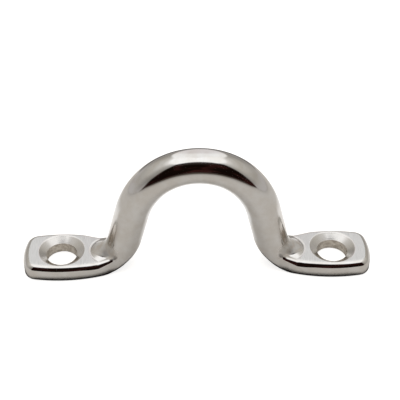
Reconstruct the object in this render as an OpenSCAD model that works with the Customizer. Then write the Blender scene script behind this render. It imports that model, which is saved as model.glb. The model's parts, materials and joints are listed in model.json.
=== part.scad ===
// Pad eye (eye strap): a round bar bent to an arch, with both ends forged flat
// into ears that carry a countersunk screw hole each. It is one piece of metal.
// X runs along the strap, Y across it and Z up. The origin is the middle of
// the mounting surface that the ears are screwed down to.

/* [Bar and eye] */
// Diameter of the round bar
bar_d = 6; // [5:0.1:8]
// Height of the crown above the mounting surface
height = 24.8; // [21:0.1:32]
// Radius of the eye under the crown
eye_r = 7.8; // [6.5:0.1:9.5]
// Angle each side of the top over which the crown keeps that radius
crown_sweep = 47; // [20:1:55]
// Radius of the eye at the shoulders, between the crown and the straight legs
shoulder_r = 11.5; // [10:0.1:14]
// Clear width between the legs, carried straight down to the mounting surface
eye_w = 22.6; // [20:0.1:24]

/* [Ears] */
// Distance from the middle of a screw hole to the end of its ear
end_margin = 6.75; // [5.8:0.05:9]
// Width of an ear at its screw hole
ear_w = 9.8; // [9:0.1:12]
// Thickness of an ear
ear_t = 3; // [2.6:0.1:4]
// Radius of the two outer corners, seen from above
corner_r = 2.3; // [1.5:0.1:3]
// Radius of the end between the corners, seen from above
end_r = 12; // [8:0.5:40]
// Rounding of the upper edge
top_edge_r = 1; // [0.6:0.05:1.2]
// Rounding of the lower edge
base_edge_r = 0.5; // [0.2:0.05:0.8]

/* [Screw holes] */
// Distance between the two screw holes
hole_spacing = 48.5; // [47:0.1:60]
// Diameter of a screw hole
hole_d = 5.5; // [4:0.1:6]
// Diameter of the countersink at the top of an ear
sink_d = 8.1; // [6.5:0.1:8.6]
// Full angle of the countersink
sink_angle = 100; // [82:1:120]

/* [Neck] */
// Radius of the bend under each leg
neck_r = 7.5; // [4:0.1:8]
// Length of the root of a leg, from the leg to its rim on the ear
root_len = 2.65; // [1.8:0.05:2.8]
// How far the rim of the root falls back at the edges of the ear
root_sag = 1.5; // [0.8:0.1:1.8]
// Slope of the root along its middle, in degrees
root_angle = 26; // [20:1:32]
// Slope of the flanks of the root, in degrees
flank_angle = 14; // [10:1:20]
// Slope of the edges where they rise from the ear to the leg, in degrees
edge_angle = 28; // [20:1:32]
// Depth of the groove along the rim of the root
groove_depth = 0.08; // [0:0.02:0.2]
// How much lower the top of the ear lies beside the root than in its middle
neck_crown = 0.15; // [0:0.05:0.3]

/* [Hidden] */

// Steps of the surface round the bar: half the flat, one edge rounding
flat_steps = 5;
edge_steps = 4;
// Steps of the surface along the bar
crown_steps = 9;
shoulder_steps = 6;
bend_steps = 11;
flank_steps = 4;
groove_steps = 3;
ear_steps = 8;
corner_steps = 9;

// Where the flats and the edges of an ear lie round the bar, in degrees
flat_turn = 50;
edge_turn = 84;
// Thin skin under the ears that is planed off to make them truly flat
plane_off = 0.06;
// Reach of the smooth run-out between bar and ear, in half-widths
flare = 0.8;
// Width of the groove along the rim of a root
groove_w = 0.3;
// Run-out of the crown of an ear, from the rim towards the screw hole
crown_len = 3.2;
// The ridge of a root spreads between these cosines of the turn round the bar
ridge_cos = 0.7;
ridge_soft = 0.3;
// Three values for the middle of a root, its flanks and the edges of the ear:
// the slope in degrees, how far up the leg the bend starts, and the share of
// the root that the bend takes
slopes = [root_angle, flank_angle, edge_angle];
ups = [1.5, 0.6, 1];
outs = [0.85, 0.35, 0.5];
// Share of the way from the bend to the rim at which a line passes the groove
under_groove = 0.6;
// Rounds of the search for the place where a line meets the rim
search_rounds = 6;
// Clearance by which cutting tools pass a surface
over = 1;

bar_r = bar_d / 2;
half_w = ear_w / 2;
hole_x = hole_spacing / 2;
end_x = hole_x + end_margin;

// The arch: crown arc, shoulder arc and straight leg, all along the bar's axis
crown_r = eye_r + bar_r;
crown_z = height - bar_r - crown_r;
arch_r = shoulder_r + bar_r;
arch_c = [
    (crown_r - arch_r) * sin(crown_sweep),
    crown_z + (crown_r - arch_r) * cos(crown_sweep)
];

// Leg angle that puts the inner faces eye_w apart at the mounting surface:
// the inner line is the tangent from (eye_w / 2, 0) to the shoulder arc
reach = [eye_w / 2 - arch_c.x, arch_c.y];
leg_turn = atan2(reach.y, reach.x) + asin(shoulder_r / norm(reach));
leg_out = [sin(leg_turn), cos(leg_turn)];
leg_up = [-leg_out.y, leg_out.x];
foot_x = eye_w / 2 + bar_r / leg_out.x;
lean = leg_up.x / leg_up.y;

// The ear's outline: side arc, corner arc and end arc, tangent to each other
side_dx = hole_x - foot_x;
side_dw = half_w - bar_r;
side_r = (side_dx * side_dx + side_dw * side_dw) / (2 * side_dw);
side_c = [hole_x, half_w - side_r];
end_c = [end_x - end_r, 0];
corner_c = meet(side_c, side_r - corner_r, end_c, end_r - corner_r);
side_dir = (corner_c - side_c) / norm(corner_c - side_c);
end_dir = (corner_c - end_c) / norm(corner_c - end_c);
corner_from = atan2(side_dir.x, side_dir.y);
corner_to = atan2(end_dir.x, end_dir.y);
corner_start = corner_c + corner_r * side_dir;
corner_end = corner_c + corner_r * end_dir;
end_sag = end_x - corner_end.x;

// The countersink
sink_depth = (sink_d - hole_d) / 2 / tan(sink_angle / 2);

// Upper meeting point of two circles given by centre and radius
function meet(a, ra, b, rb) =
    let (
        d = norm(b - a),
        u = (b - a) / d,
        along = (d * d + ra * ra - rb * rb) / (2 * d),
        off = sqrt(ra * ra - along * along)
    )
    a + along * u + off * [-u.y, u.x] * sign(u.x);

function mix(a, b, t) = a + (b - a) * t;
function ease(t) = t * t * (3 - 2 * t);
function cross2(a, b) = a.x * b.y - a.y * b.x;

// Larger of two values, rounded over where they are nearly equal
function soft_max(a, b, k) =
    let (h = max(k - abs(a - b), 0) / k)
    max(a, b) + h * h * k / 4;

// Half-width of the neck and ear at a distance x along the strap
function half_width(x) =
    let (
        dx = x - hole_x,
        w = side_c.y + sqrt(side_r * side_r - dx * dx)
    )
    dx > 0 ? w : soft_max(w, bar_r, flare);

// Depth inside the ear's outline near its outer end
function inside(p) =
    let (
        q = [p.x, abs(p.y)],
        u = q - corner_c
    )
    cross2(end_dir, u) > 0 && cross2(u, side_dir) > 0
        ? corner_r - norm(u)
        : min(side_r - norm(q - side_c), end_r - norm(q - end_c));

// Drop of an edge of radius r at depth d inside the outline
function edge_drop(r, d) =
    let (s = max(r - d, 0) / r)
    r * (1 - sqrt(max(1 - s * s, 0)));

// The surface is a grid. Index i runs round one half of the bar, from the
// outer line over the side to the inner line, and j runs along it.
half_n = 2 * (flat_steps + edge_steps) + 1;
side_i = flat_steps + edge_steps;
function is_top(i) = i <= side_i;
function fold(i) = is_top(i) ? i : half_n - i;

// Angle round the bar of line i
function turn(i) =
    let (
        k = fold(i),
        a = k <= flat_steps
            ? flat_turn * k / flat_steps
            : mix(flat_turn, edge_turn, (k - flat_steps) / edge_steps)
    )
    is_top(i) ? a : 180 - a;

// Depth inside the edge of line i in a section of half-width w
function inset(i, w) =
    let (
        k = fold(i),
        flat = w - top_edge_r
    )
    k <= flat_steps
        ? w - flat * k / flat_steps
        : top_edge_r * (1 - sin(90 * (k - flat_steps) / edge_steps));

// Height of line i at depth d inside the outline
function ear_z(i, d) =
    is_top(i)
        ? ear_t - edge_drop(top_edge_r, d)
        : edge_drop(base_edge_r, d) - plane_off;

// Ring of the bar about axis point c with outward direction n
function bar_ring(c, n) = [
    for (i = [0:half_n])
        let (o = c + bar_r * cos(turn(i)) * n)
        [o.x, bar_r * sin(turn(i)), o.y]
];

function crown_ring(a) =
    let (n = [sin(a), cos(a)])
    bar_ring([0, crown_z] + crown_r * n, n);
function shoulder_ring(a) =
    let (n = [sin(a), cos(a)])
    bar_ring(arch_c + arch_r * n, n);

// x of line i of the straight leg at height z
function leg_x(i, z) =
    let (o = bar_r * cos(turn(i)))
    foot_x + o * leg_out.x + (z - o * leg_out.y) * lean;

// Value of line i between those for the root, its flanks and the ear's edges
function over_root(i, v) =
    let (
        k = fold(i),
        ridge = ease(min(max((cos(turn(i)) - ridge_cos) / ridge_soft, 0), 1))
    )
    mix(v[1], v[0], ridge) + (v[2] - v[1]) * max(k - flat_steps, 0) / edge_steps;

// y of line i where it is at x on the ear
function line_y(i, x) =
    let (w = half_width(x))
    w - inset(i, w);

// x of line i a distance back from the rim of the root. The rim depends on how
// wide the ear is there, so the place is searched in a few rounds.
rim_x = leg_x(0, ear_t) + root_len;
function rim_line_x(i, back, x = rim_x - root_sag, rounds = search_rounds) =
    rounds == 0 ? x :
    let (s = min(line_y(i, x) / (half_width(x) - top_edge_r), 1))
    rim_line_x(i, back, rim_x - back - root_sag * s * s, rounds - 1);
rim_xs = [for (i = [0:half_n]) rim_line_x(i, 0)];

// Point of line i at x on the ear, which is crowned near the root, and sunk
// into a groove
function ear_point(i, x, groove) =
    let (
        w = half_width(x),
        d = inset(i, w),
        near = ease(min(max((rim_x - root_sag + crown_len - x) / crown_len, 0), 1)),
        fall = neck_crown * pow((w - d) / bar_r, 2) * near + groove
    )
    [x, w - d, ear_z(i, d) - (is_top(i) ? fall : 0)];

// Foot of the root, in the groove
feet = [
    for (i = [0:half_n])
        let (p = ear_point(i, rim_line_x(i, groove_w), groove_depth))
        [p.x, p.z]
];

// Corner at which line i of the leg would meet the slope of the root
function rise(i) = is_top(i) ? tan(over_root(i, slopes)) : 0;
corners = [
    for (i = [0:half_n])
        let (z = (feet[i].y + rise(i) * (feet[i].x - leg_x(i, 0))) / (1 + rise(i) * lean))
        [leg_x(i, z), z]
];

// How far above the corner the bend leaves the leg, and where it ends
function under_reach(i) = mix(neck_r, bar_r, 1 + cos(turn(i))) * tan(leg_turn / 2);
function reach_up(i) = is_top(i) ? over_root(i, ups) : under_reach(i);
bend_ends = [
    for (i = [0:half_n])
        is_top(i)
            ? mix(corners[i], feet[i], over_root(i, outs))
            : corners[i] + [under_reach(i), 0]
];

// Ring at part t of the bend, from leg (0) to ear (1)
function bend_point(i, t) =
    let (
        pull = 2 * t * (1 - t) * cos((leg_turn - atan(rise(i))) / 2),
        near = (1 - t) * (1 - t),
        start = corners[i] + reach_up(i) * leg_up
    )
    (near * start + pull * corners[i] + t * t * bend_ends[i])
        / (near + pull + t * t);
function bend_ring(t) = [
    for (i = [0:half_n])
        let (
            q = bend_point(i, t),
            y = mix(bar_r * sin(turn(i)), line_y(i, q.x), ease(t))
        )
        [q.x, y, q.y]
];

// Where line i reaches the groove, or passes under it
landings = [
    for (i = [0:half_n])
        is_top(i)
            ? feet[i]
            : mix(bend_ends[i], [rim_xs[i], feet[i].y], under_groove)
];

// Ring down the straight flanks of the root, from the bend to the groove
function flank_ring(t) = [
    for (i = [0:half_n])
        let (q = mix(bend_ends[i], landings[i], t))
        [q.x, line_y(i, q.x), q.y]
];

// Ring across the groove, up to the rim
function groove_ring(t) = [
    for (i = [0:half_n])
        ear_point(i, mix(landings[i].x, rim_xs[i], t), groove_depth * cos(90 * t))
];

// Ring across the flat of the ear, from the rim to the corners
function corner_x(i) =
    let (s = line_y(i, corner_start.x) / corner_start.y)
    corner_start.x + end_sag * (1 - s * s);
function ear_ring(t) =
    [for (i = [0:half_n]) ear_point(i, mix(rim_xs[i], corner_x(i), t), 0)];

function corner_ring(t) =
    let (
        a = mix(corner_from, corner_to, t),
        edge = corner_c + corner_r * [sin(a), cos(a)],
        mid_x = mix(corner_start.x + end_sag, end_x, sin(90 * t))
    )
    [
        for (i = [0:half_n])
            let (
                s = 1 - inset(i, edge.y) / edge.y,
                p = [mix(mid_x, edge.x, s * s), edge.y * s],
                d = t == 1 ? 0 : max(inside(p), 0)
            )
            [p.x, p.y, ear_z(i, d)]
    ];

half_rings = [
    for (j = [0:crown_steps]) crown_ring(crown_sweep * j / crown_steps),
    for (j = [1:shoulder_steps])
        shoulder_ring(mix(crown_sweep, leg_turn, j / shoulder_steps)),
    for (j = [0:bend_steps]) bend_ring(j / bend_steps),
    for (j = [1:flank_steps]) flank_ring(j / flank_steps),
    for (j = [1:groove_steps]) groove_ring(j / groove_steps),
    for (j = [1:ear_steps]) ear_ring(j / ear_steps),
    for (j = [1:corner_steps]) corner_ring(j / corner_steps)
];

// Both halves of each ring, then both halves of the strap
ring_n = 2 * half_n;
function close_ring(h) = concat(
    h,
    [for (i = [half_n - 1:-1:1]) [h[i].x, -h[i].y, h[i].z]]
);
right_rings = [for (h = half_rings) close_ring(h)];
left_rings = [
    for (j = [len(right_rings) - 1:-1:1])
        [for (p = right_rings[j]) [-p.x, p.y, p.z]]
];
rings = concat(left_rings, right_rings);
last = len(rings) - 1;

function at(j, k) = j * ring_n + (k + ring_n) % ring_n;

// Faces between ring j and the next one
function belt(j) = [
    for (k = [0:ring_n - 1])
        each [
            [at(j, k), at(j + 1, k + 1), at(j + 1, k)],
            [at(j, k), at(j, k + 1), at(j + 1, k + 1)]
        ]
];

// Upright end face of ring j, from side line to side line
function end_wall(j) = [
    for (k = [-side_i:side_i - 1])
        each [
            [at(j, k), at(j, k + 1), at(j, half_n - k)],
            [at(j, k + 1), at(j, half_n - k - 1), at(j, half_n - k)]
        ]
];
function flip(faces) = [for (f = faces) [f[0], f[2], f[1]]];

// The whole strap without its holes
module strap_blank() {
    polyhedron(
        points = [for (r = rings) each r],
        faces = concat(
            flip(end_wall(0)),
            [for (j = [0:last - 1]) each belt(j)],
            end_wall(last)
        )
    );
}

// Everything below the mounting surface
module planing() {
    translate([-end_x - over, -half_w - over, -over])
        cube([2 * (end_x + over), ear_w + 2 * over, over]);
}

// Screw hole with its countersink, on the Z axis
module screw_hole() {
    rotate_extrude($fn = 96)
        polygon([
            [0, -over],
            [hole_d / 2, -over],
            [hole_d / 2, ear_t - sink_depth],
            [sink_d / 2, ear_t],
            [sink_d / 2 + over * tan(sink_angle / 2), ear_t + over],
            [0, ear_t + over]
        ]);
}

module eye_strap() {
    color("silver")
    difference() {
        strap_blank();
        planing();
        for (side = [-1, 1])
            translate([side * hole_x, 0, 0]) screw_hole();
    }
}
eye_strap();
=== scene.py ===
# %% [markdown]
# # A forged eye strap in stainless steel
#
# An eye strap is a loop for a rope, screwed down to a deck. The real one starts as
# a piece of round bar. It is bent to an arch, and both ends are squeezed flat in a
# die, so that each becomes an ear with room for a screw. Then the ears are drilled
# and countersunk, and the whole strap is ground and polished.
#
# We follow the same order here: shape the bar, flatten the ears, drill the holes,
# and then finish each surface in the way that its tool leaves it.

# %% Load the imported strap
import json
import math

import bmesh
import bpy
import numpy as np
from mathutils import Matrix, Vector


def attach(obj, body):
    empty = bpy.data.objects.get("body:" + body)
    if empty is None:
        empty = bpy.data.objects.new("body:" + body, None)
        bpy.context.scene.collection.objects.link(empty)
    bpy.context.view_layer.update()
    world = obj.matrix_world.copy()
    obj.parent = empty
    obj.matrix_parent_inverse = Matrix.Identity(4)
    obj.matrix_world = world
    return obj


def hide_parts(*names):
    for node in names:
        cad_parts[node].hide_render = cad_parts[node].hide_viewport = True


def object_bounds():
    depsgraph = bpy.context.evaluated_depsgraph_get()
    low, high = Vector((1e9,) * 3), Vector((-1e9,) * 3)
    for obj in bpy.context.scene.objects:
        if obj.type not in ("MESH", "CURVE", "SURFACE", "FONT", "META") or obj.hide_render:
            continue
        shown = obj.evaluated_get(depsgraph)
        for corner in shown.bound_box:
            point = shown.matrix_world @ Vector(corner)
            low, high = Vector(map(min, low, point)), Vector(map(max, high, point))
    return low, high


MM = 0.001

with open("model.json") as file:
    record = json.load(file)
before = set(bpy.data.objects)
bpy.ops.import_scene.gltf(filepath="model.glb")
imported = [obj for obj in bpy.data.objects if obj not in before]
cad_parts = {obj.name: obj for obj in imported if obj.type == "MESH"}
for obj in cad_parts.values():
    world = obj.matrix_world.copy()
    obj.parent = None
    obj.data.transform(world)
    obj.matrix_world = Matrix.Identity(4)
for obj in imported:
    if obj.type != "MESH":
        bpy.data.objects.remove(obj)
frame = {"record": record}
cad_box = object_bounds()
for corner in cad_box:
    print("corner of the strap in mm:", [round(value / MM, 2) for value in corner])

# %% [markdown]
# ## Sizes that are already settled
#
# The screw holes have to fit real screws, and the strap has to stay as tall and as
# long as it was designed. We don't choose these sizes: the holes come from the
# record that is packed with the strap, and height and length from its own box. The
# width and the thickness of an ear are the design's own round numbers.

# %% Holes, height, length and width
mounts = {mount["name"]: mount["dims"] for mount in frame["record"]["mounts"]}
HOLE_R = mounts["screw_hole_right"]["r_mm"]
HOLE_X = mounts["screw_holes"]["spacing_x_mm"] / 2
HEIGHT = cad_box[1].z / MM
END_X = cad_box[1].x / MM
EAR_W = 9.8
EAR_T = 3.0
HALF_W = EAR_W / 2

print(f"holes: radius {HOLE_R} mm at x = {-HOLE_X} and {HOLE_X} mm")
print(f"strap: {HEIGHT:.1f} mm high, ears end at x = {END_X:.1f} mm")

# %% [markdown]
# ## The arch
#
# The bar's centre line is three pieces joined without a kink: an arc over the
# crown, a wider arc over each shoulder, and a straight leg. Arcs that share a
# tangent are what a bending jig makes, and they keep the highlight on the metal
# in one unbroken line.
#
# A curve with a round bevel would give the bar at once, but it could not turn into
# a flat ear at its end. So we work out the centre line and place each ring round
# it ourselves. One side is enough: the other is its mirror image.

# %% Centre line of the bar
BAR_R = 3.0
CROWN_INNER_R = 7.8
SHOULDER_INNER_R = 11.5
CROWN_SWEEP = math.radians(47)
EYE_W = 22.6

CROWN_R = CROWN_INNER_R + BAR_R
SHOULDER_R = SHOULDER_INNER_R + BAR_R


def outward(angle):
    """Direction that leans by an angle from straight up, in the plane of the arch."""
    return np.array([math.sin(angle), math.cos(angle)])


crown_c = np.array([0, HEIGHT - BAR_R - CROWN_R])
shoulder_c = crown_c + (CROWN_R - SHOULDER_R) * outward(CROWN_SWEEP)

reach = np.array([EYE_W / 2 - shoulder_c[0], shoulder_c[1]])
reach_angle = math.atan2(reach[1], reach[0])
LEG_TURN = reach_angle + math.asin(SHOULDER_INNER_R / np.linalg.norm(reach))
leg_out = outward(LEG_TURN)
leg_up = np.array([-leg_out[1], leg_out[0]])
FOOT_X = EYE_W / 2 + BAR_R / leg_out[0]

print(f"legs lean {90 - math.degrees(LEG_TURN):.1f} degrees, feet at {FOOT_X:.2f} mm")

# %% [markdown]
# ## Lines round the bar
#
# The surface is a fabric of lines. One set runs along the bar from end to end, the
# other goes round it like rings on a finger. When the die squeezes the bar, the
# lines along its top spread into the flat of the ear, the lines at its sides
# become the ear's rounded edges, and the lines below become the underside.
#
# A coarse cage under a subdivision surface is another way to such a shape. But it
# softens every edge by its own rule, and here the radius of each edge is known.
#
# So every line needs two addresses: its angle round the bar, and its distance in
# from the edge of the ear. Lines up to FLAT_TURN degrees from the bar's top make the
# flat, and those from there to EDGE_TURN make the rounded edge.

# %% Addresses of the lines
FLAT_STEPS = 16
EDGE_STEPS = 10
FLAT_TURN = 50
EDGE_TURN = 84
TOP_EDGE_R = 1.2
BASE_EDGE_R = 0.5

side_line = FLAT_STEPS + EDGE_STEPS
line_count = 2 * (side_line + 1)
line = np.arange(line_count)
is_top = line <= side_line
fold = np.where(is_top, line, line_count - 1 - line)
edge_share = (fold - FLAT_STEPS) / EDGE_STEPS
on_flat = fold <= FLAT_STEPS

turn = np.where(
    on_flat,
    FLAT_TURN * fold / FLAT_STEPS,
    FLAT_TURN + (EDGE_TURN - FLAT_TURN) * edge_share,
)
turn = np.radians(np.where(is_top, turn, 180 - turn))


def inset(half_width):
    """Distance of each line in from the edge of an ear of this half-width."""
    flat = half_width - (half_width - TOP_EDGE_R) * fold / FLAT_STEPS
    edge = TOP_EDGE_R * (1 - np.sin(math.pi / 2 * edge_share))
    return np.where(on_flat, flat, edge)


print(line_count, "lines from the top of the bar, over its side, to its underside")

# %% [markdown]
# ## The ear's outline
#
# Seen from above, a flattened ear bulges gently at the sides where the metal was
# free to spread, has a shallow arc across its end, and small corners between. All
# three arcs are tangent. Near the leg the outline flows into the width of the bar.
#
# An ear could be a plate that is merged with the bar, but the seam would show in
# the reflections. Here the outline only tells each ring how wide to be, so bar and
# ear stay one surface.

# %% Side arc and end arc
END_R = 12.0

side_dx = HOLE_X - FOOT_X
side_dw = HALF_W - BAR_R
SIDE_R = (side_dx**2 + side_dw**2) / (2 * side_dw)
side_c = np.array([HOLE_X, HALF_W - SIDE_R])
end_c = np.array([END_X - END_R, 0])

print(f"side arc has a radius of {SIDE_R:.1f} mm, end arc one of {END_R} mm")

# %% Corner arc between them
CORNER_R = 2.3


def meeting_point(a, a_r, b, b_r):
    """Upper meeting point of two circles."""
    gap = np.linalg.norm(b - a)
    along = (gap**2 + a_r**2 - b_r**2) / (2 * gap)
    ahead = (b - a) / gap
    across = np.array([-ahead[1], ahead[0]]) * np.sign(ahead[0])
    return a + along * ahead + math.sqrt(a_r**2 - along**2) * across


corner_c = meeting_point(side_c, SIDE_R - CORNER_R, end_c, END_R - CORNER_R)
side_dir = (corner_c - side_c) / np.linalg.norm(corner_c - side_c)
end_dir = (corner_c - end_c) / np.linalg.norm(corner_c - end_c)
corner_from = math.atan2(side_dir[0], side_dir[1])
corner_to = math.atan2(end_dir[0], end_dir[1])
corner_start = corner_c + CORNER_R * side_dir
END_SAG = END_X - (corner_c + CORNER_R * end_dir)[0]

print(f"corner arc starts at x = {corner_start[0]:.2f} mm")

# %% Width of the ear
FLARE = 0.8


def half_width(x):
    """Half-width at x: the side arc, blended into the bar where they come close."""
    width = side_c[1] + np.sqrt(SIDE_R**2 - (x - HOLE_X) ** 2)
    near = np.maximum(FLARE - abs(width - BAR_R), 0) / FLARE
    rounded = np.maximum(width, BAR_R) + near * near * FLARE / 4
    return np.where(x > HOLE_X, width, rounded)


for x in (FOOT_X, HOLE_X, corner_start[0]):
    print(f"ear is {2 * half_width(x):.2f} mm wide at x = {x:.1f} mm")

# %% [markdown]
# ## Height of the ear's two faces
#
# The top edge is rounded over by polishing and the bottom edge only a little. The
# underside is planed flat, or the strap would rock on the deck.
#
# A bevel modifier could round these edges, but it would catch the creases of the
# root as well. So the height of a line follows from how deep it lies inside the
# outline: near the edge it falls along a quarter of a circle.

# %% Height at a depth inside the outline
PLANE_OFF = 0.06


def edge_drop(radius, depth):
    """How far a rounded edge falls at a depth inside the outline."""
    share = np.maximum(radius - depth, 0) / radius
    return radius * (1 - np.sqrt(np.maximum(1 - share**2, 0)))


def ear_z(depth):
    """Height of each line of an ear."""
    top = EAR_T - edge_drop(TOP_EDGE_R, depth)
    return np.where(is_top, top, edge_drop(BASE_EDGE_R, depth) - PLANE_OFF)


print("the rounding of the top edge falls", edge_drop(TOP_EDGE_R, 0.0), "mm")

# %% [markdown]
# ## Rings over the arch
#
# Over the crown and the shoulders each ring is a plain circle, square to the bar.
# Circles that stay upright would be easier to place, but the bar would get thinner
# wherever it leans.

# %% Rings of the round bar
def smooth_step(share):
    """Eases a share in and out, without a kink at 0 or 1."""
    return share * share * (3 - 2 * share)


def mix(a, b, share):
    """The value a share of the way from a to b."""
    return a + (b - a) * share


def bar_ring(centre, angle):
    """Ring of the round bar, as one row of (x, y, z) for each line."""
    spokes = centre + BAR_R * np.outer(np.cos(turn), outward(angle))
    return np.column_stack([spokes[:, 0], BAR_R * np.sin(turn), spokes[:, 1]])


def crown_ring(angle):
    """Ring over the crown, at an angle from the top of the arch."""
    return bar_ring(crown_c + CROWN_R * outward(angle), angle)


def shoulder_ring(angle):
    """Ring over a shoulder, at an angle from the top of the arch."""
    return bar_ring(shoulder_c + SHOULDER_R * outward(angle), angle)


print("top of the crown at z =", crown_ring(0.0)[0][2].round(2), "mm")

# %% [markdown]
# ## The root of each leg
#
# This is the part that tells a forging from a bent tube. The die holds the top of
# the ear flat, and the metal of the leg runs out onto it in a root, like the foot
# of a tree. The root ends at a clear rim with a shallow groove along it. Its middle
# is high and its flanks fall away to both edges of the ear.
#
# Near the root the top of the ear is slightly crowned, as the metal could only
# escape sideways.
#
# Sculpting could give this shape, but any change of a size would mean doing it
# again. We draw the rim first, as a shallow curve across the ear, and lead the
# lines of the groove and of the root up to it.

# %% How far the root reaches
ROOT_LEN = 2.65

spoke = BAR_R * np.cos(turn)
lean = leg_up[0] / leg_up[1]
foot_line_x = FOOT_X + spoke * leg_out[0] - spoke * leg_out[1] * lean
rim_x = foot_line_x[0] + lean * EAR_T + ROOT_LEN

print(f"root ends at x = {rim_x:.2f} mm in the middle of the ear")

# %% Rim of the root
ROOT_SAG = 1.5
RIM_PASSES = 6


def across_ear(x):
    """Depth inside the outline and y of each line where it is at x."""
    width = half_width(x)
    depth = inset(width)
    return depth, width - depth


def rim_line(back):
    """x of each line on the rim of the root, or a distance back from it."""
    x = np.full(line_count, rim_x - ROOT_SAG)
    # A line's y depends on its x, so every pass brings it nearer to the rim.
    for _ in range(RIM_PASSES):
        across = across_ear(x)[1] / (half_width(x) - TOP_EDGE_R)
        x = rim_x - back - ROOT_SAG * np.minimum(across, 1) ** 2
    return x


rim_line_x = rim_line(0)
print(f"rim is at x = {rim_line_x[is_top].min():.2f} mm at the edges of the ear")

# %% Groove along the rim
GROOVE_DEPTH = 0.08
GROOVE_W = 0.3
GROOVE_INSET = 1.6
NECK_CROWN = 0.15
CROWN_LEN = 3.2


def ear_ring_at(x, groove):
    """Ring whose lines are at x on the ear, which is crowned near the root."""
    depth, y = across_ear(x)
    near = smooth_step(np.clip((rim_x - ROOT_SAG + CROWN_LEN - x) / CROWN_LEN, 0, 1))
    inside = smooth_step(np.clip(depth / GROOVE_INSET, 0, 1))
    fall = NECK_CROWN * (y / BAR_R) ** 2 * near + groove * inside
    return np.column_stack([x, y, ear_z(depth) - is_top * fall])


feet = ear_ring_at(rim_line(GROOVE_W), GROOVE_DEPTH)[:, [0, 2]]
print(f"groove is {GROOVE_W} mm wide and {GROOVE_DEPTH} mm deep")

# %% [markdown]
# ## The bend
#
# The middle of the root comes down the leg in a wide curve, and its flanks meet the
# leg in a tight crease. The underside is free metal and sweeps round in one large
# radius. So each line has its own slope, its own corner and its own reach.
#
# An arc reaches equally far to both sides of its corner, and this curve is short on
# the leg and long on the root. So it is a conic: it starts along the leg, bends
# towards the corner and ends along the root. Each set of three numbers is for the
# ridge of the root, its flanks and the edges of the ear: the slope in degrees, how
# far up the leg the curve starts in mm, and how far out it ends as a share of the
# root.

# %% Corner of each line
NECK_R = 7.5
RIDGE_COS = 0.7
RIDGE_SOFT = 0.3
SLOPES = np.array([26, 14, 28])
UPS = np.array([1.5, 0.6, 1.0])
OUTS = np.array([0.85, 0.35, 0.5])
UNDER_GROOVE = 0.6


def over_root(values):
    """Value of each line from those for the ridge, the flanks and the ear's edges."""
    ridge, flank, edge = values
    on_ridge = smooth_step(np.clip((np.cos(turn) - RIDGE_COS) / RIDGE_SOFT, 0, 1))
    return mix(flank, ridge, on_ridge) + (edge - flank) * np.maximum(edge_share, 0)


rise = is_top * np.tan(np.radians(over_root(SLOPES)))
corner_z = (feet[:, 1] + rise * (feet[:, 0] - foot_line_x)) / (1 + rise * lean)
corner = np.column_stack([foot_line_x + lean * corner_z, corner_z])

under_reach = mix(NECK_R, BAR_R, 1 + np.cos(turn)) * math.tan(LEG_TURN / 2)
reach_up = np.where(is_top, over_root(UPS), under_reach)
bend_from = corner + reach_up[:, None] * leg_up
swept = corner + np.outer(under_reach, [1, 0])
bend_to = np.where(is_top[:, None], mix(corner, feet, over_root(OUTS)[:, None]), swept)
beneath = mix(bend_to, np.column_stack([rim_line_x, feet[:, 1]]), UNDER_GROOVE)
landing = np.where(is_top[:, None], feet, beneath)

print(f"crease of the root is up to {corner_z.max():.1f} mm above the deck")


# %% Rings down the bend and the root
def bend_ring(share):
    """Ring at a share of the bend, from the leg (0) to the root (1)."""
    pull = 2 * share * (1 - share) * np.cos((LEG_TURN - np.arctan(rise)) / 2)
    near, far = (1 - share) ** 2, share**2
    path = near * bend_from + pull[:, None] * corner + far * bend_to
    path = path / (near + pull + far)[:, None]
    y = mix(BAR_R * np.sin(turn), across_ear(path[:, 0])[1], smooth_step(share))
    return np.column_stack([path[:, 0], y, path[:, 1]])


def flank_ring(share):
    """Ring down the straight flanks of the root, from the bend to the groove."""
    path = mix(bend_to, landing, share)
    return np.column_stack([path[:, 0], across_ear(path[:, 0])[1], path[:, 1]])


print("underside sweeps round a radius of", NECK_R, "mm")

# %% Rings over the groove and the ear
start_y = across_ear(np.full(line_count, corner_start[0]))[1]
start_line_x = corner_start[0] + END_SAG * (1 - (start_y / corner_start[1]) ** 2)


def groove_ring(share):
    """Ring across the groove, up to the rim."""
    x = mix(landing[:, 0], rim_line_x, share)
    return ear_ring_at(x, GROOVE_DEPTH * math.cos(math.pi / 2 * share))


def ear_ring(share):
    """Ring across the flat of the ear, from the rim to the corners."""
    return ear_ring_at(mix(rim_line_x, start_line_x, share), 0)


print("rings end", round(END_X - start_line_x[0], 2), "mm before the end of the ear")

# %% [markdown]
# Straight rings would cut a corner at a slant and leave it ragged, so there the
# rings fan round the corner arc. The depth inside the outline is measured from
# whichever arc is nearest, so that the rounded edge is equally wide everywhere.

# %% Rings round the corners
def cross(a, b):
    """Positive where b lies to the left of a, seen from above."""
    return a[0] * b[..., 1] - a[1] * b[..., 0]


def depth_inside(points):
    """Distance of points (x, y) from the outline of the ear, near its end."""
    from_corner = points - corner_c
    in_wedge = (cross(end_dir, from_corner) > 0) & (-cross(side_dir, from_corner) > 0)
    corner = CORNER_R - np.linalg.norm(from_corner, axis=1)
    side = SIDE_R - np.linalg.norm(points - side_c, axis=1)
    end = END_R - np.linalg.norm(points - end_c, axis=1)
    return np.maximum(np.where(in_wedge, corner, np.minimum(side, end)), 0)


def corner_ring(share):
    """Ring that fans round the corner, from the side (0) to the end (1)."""
    edge = corner_c + CORNER_R * outward(mix(corner_from, corner_to, share))
    middle_x = mix(corner_start[0] + END_SAG, END_X, math.sin(math.pi / 2 * share))
    across = 1 - inset(edge[1]) / edge[1]
    x = mix(middle_x, edge[0], across**2)
    y = edge[1] * across
    depth = depth_inside(np.column_stack([x, y])) if share < 1 else np.zeros(line_count)
    return np.column_stack([x, y, ear_z(depth)])


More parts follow.
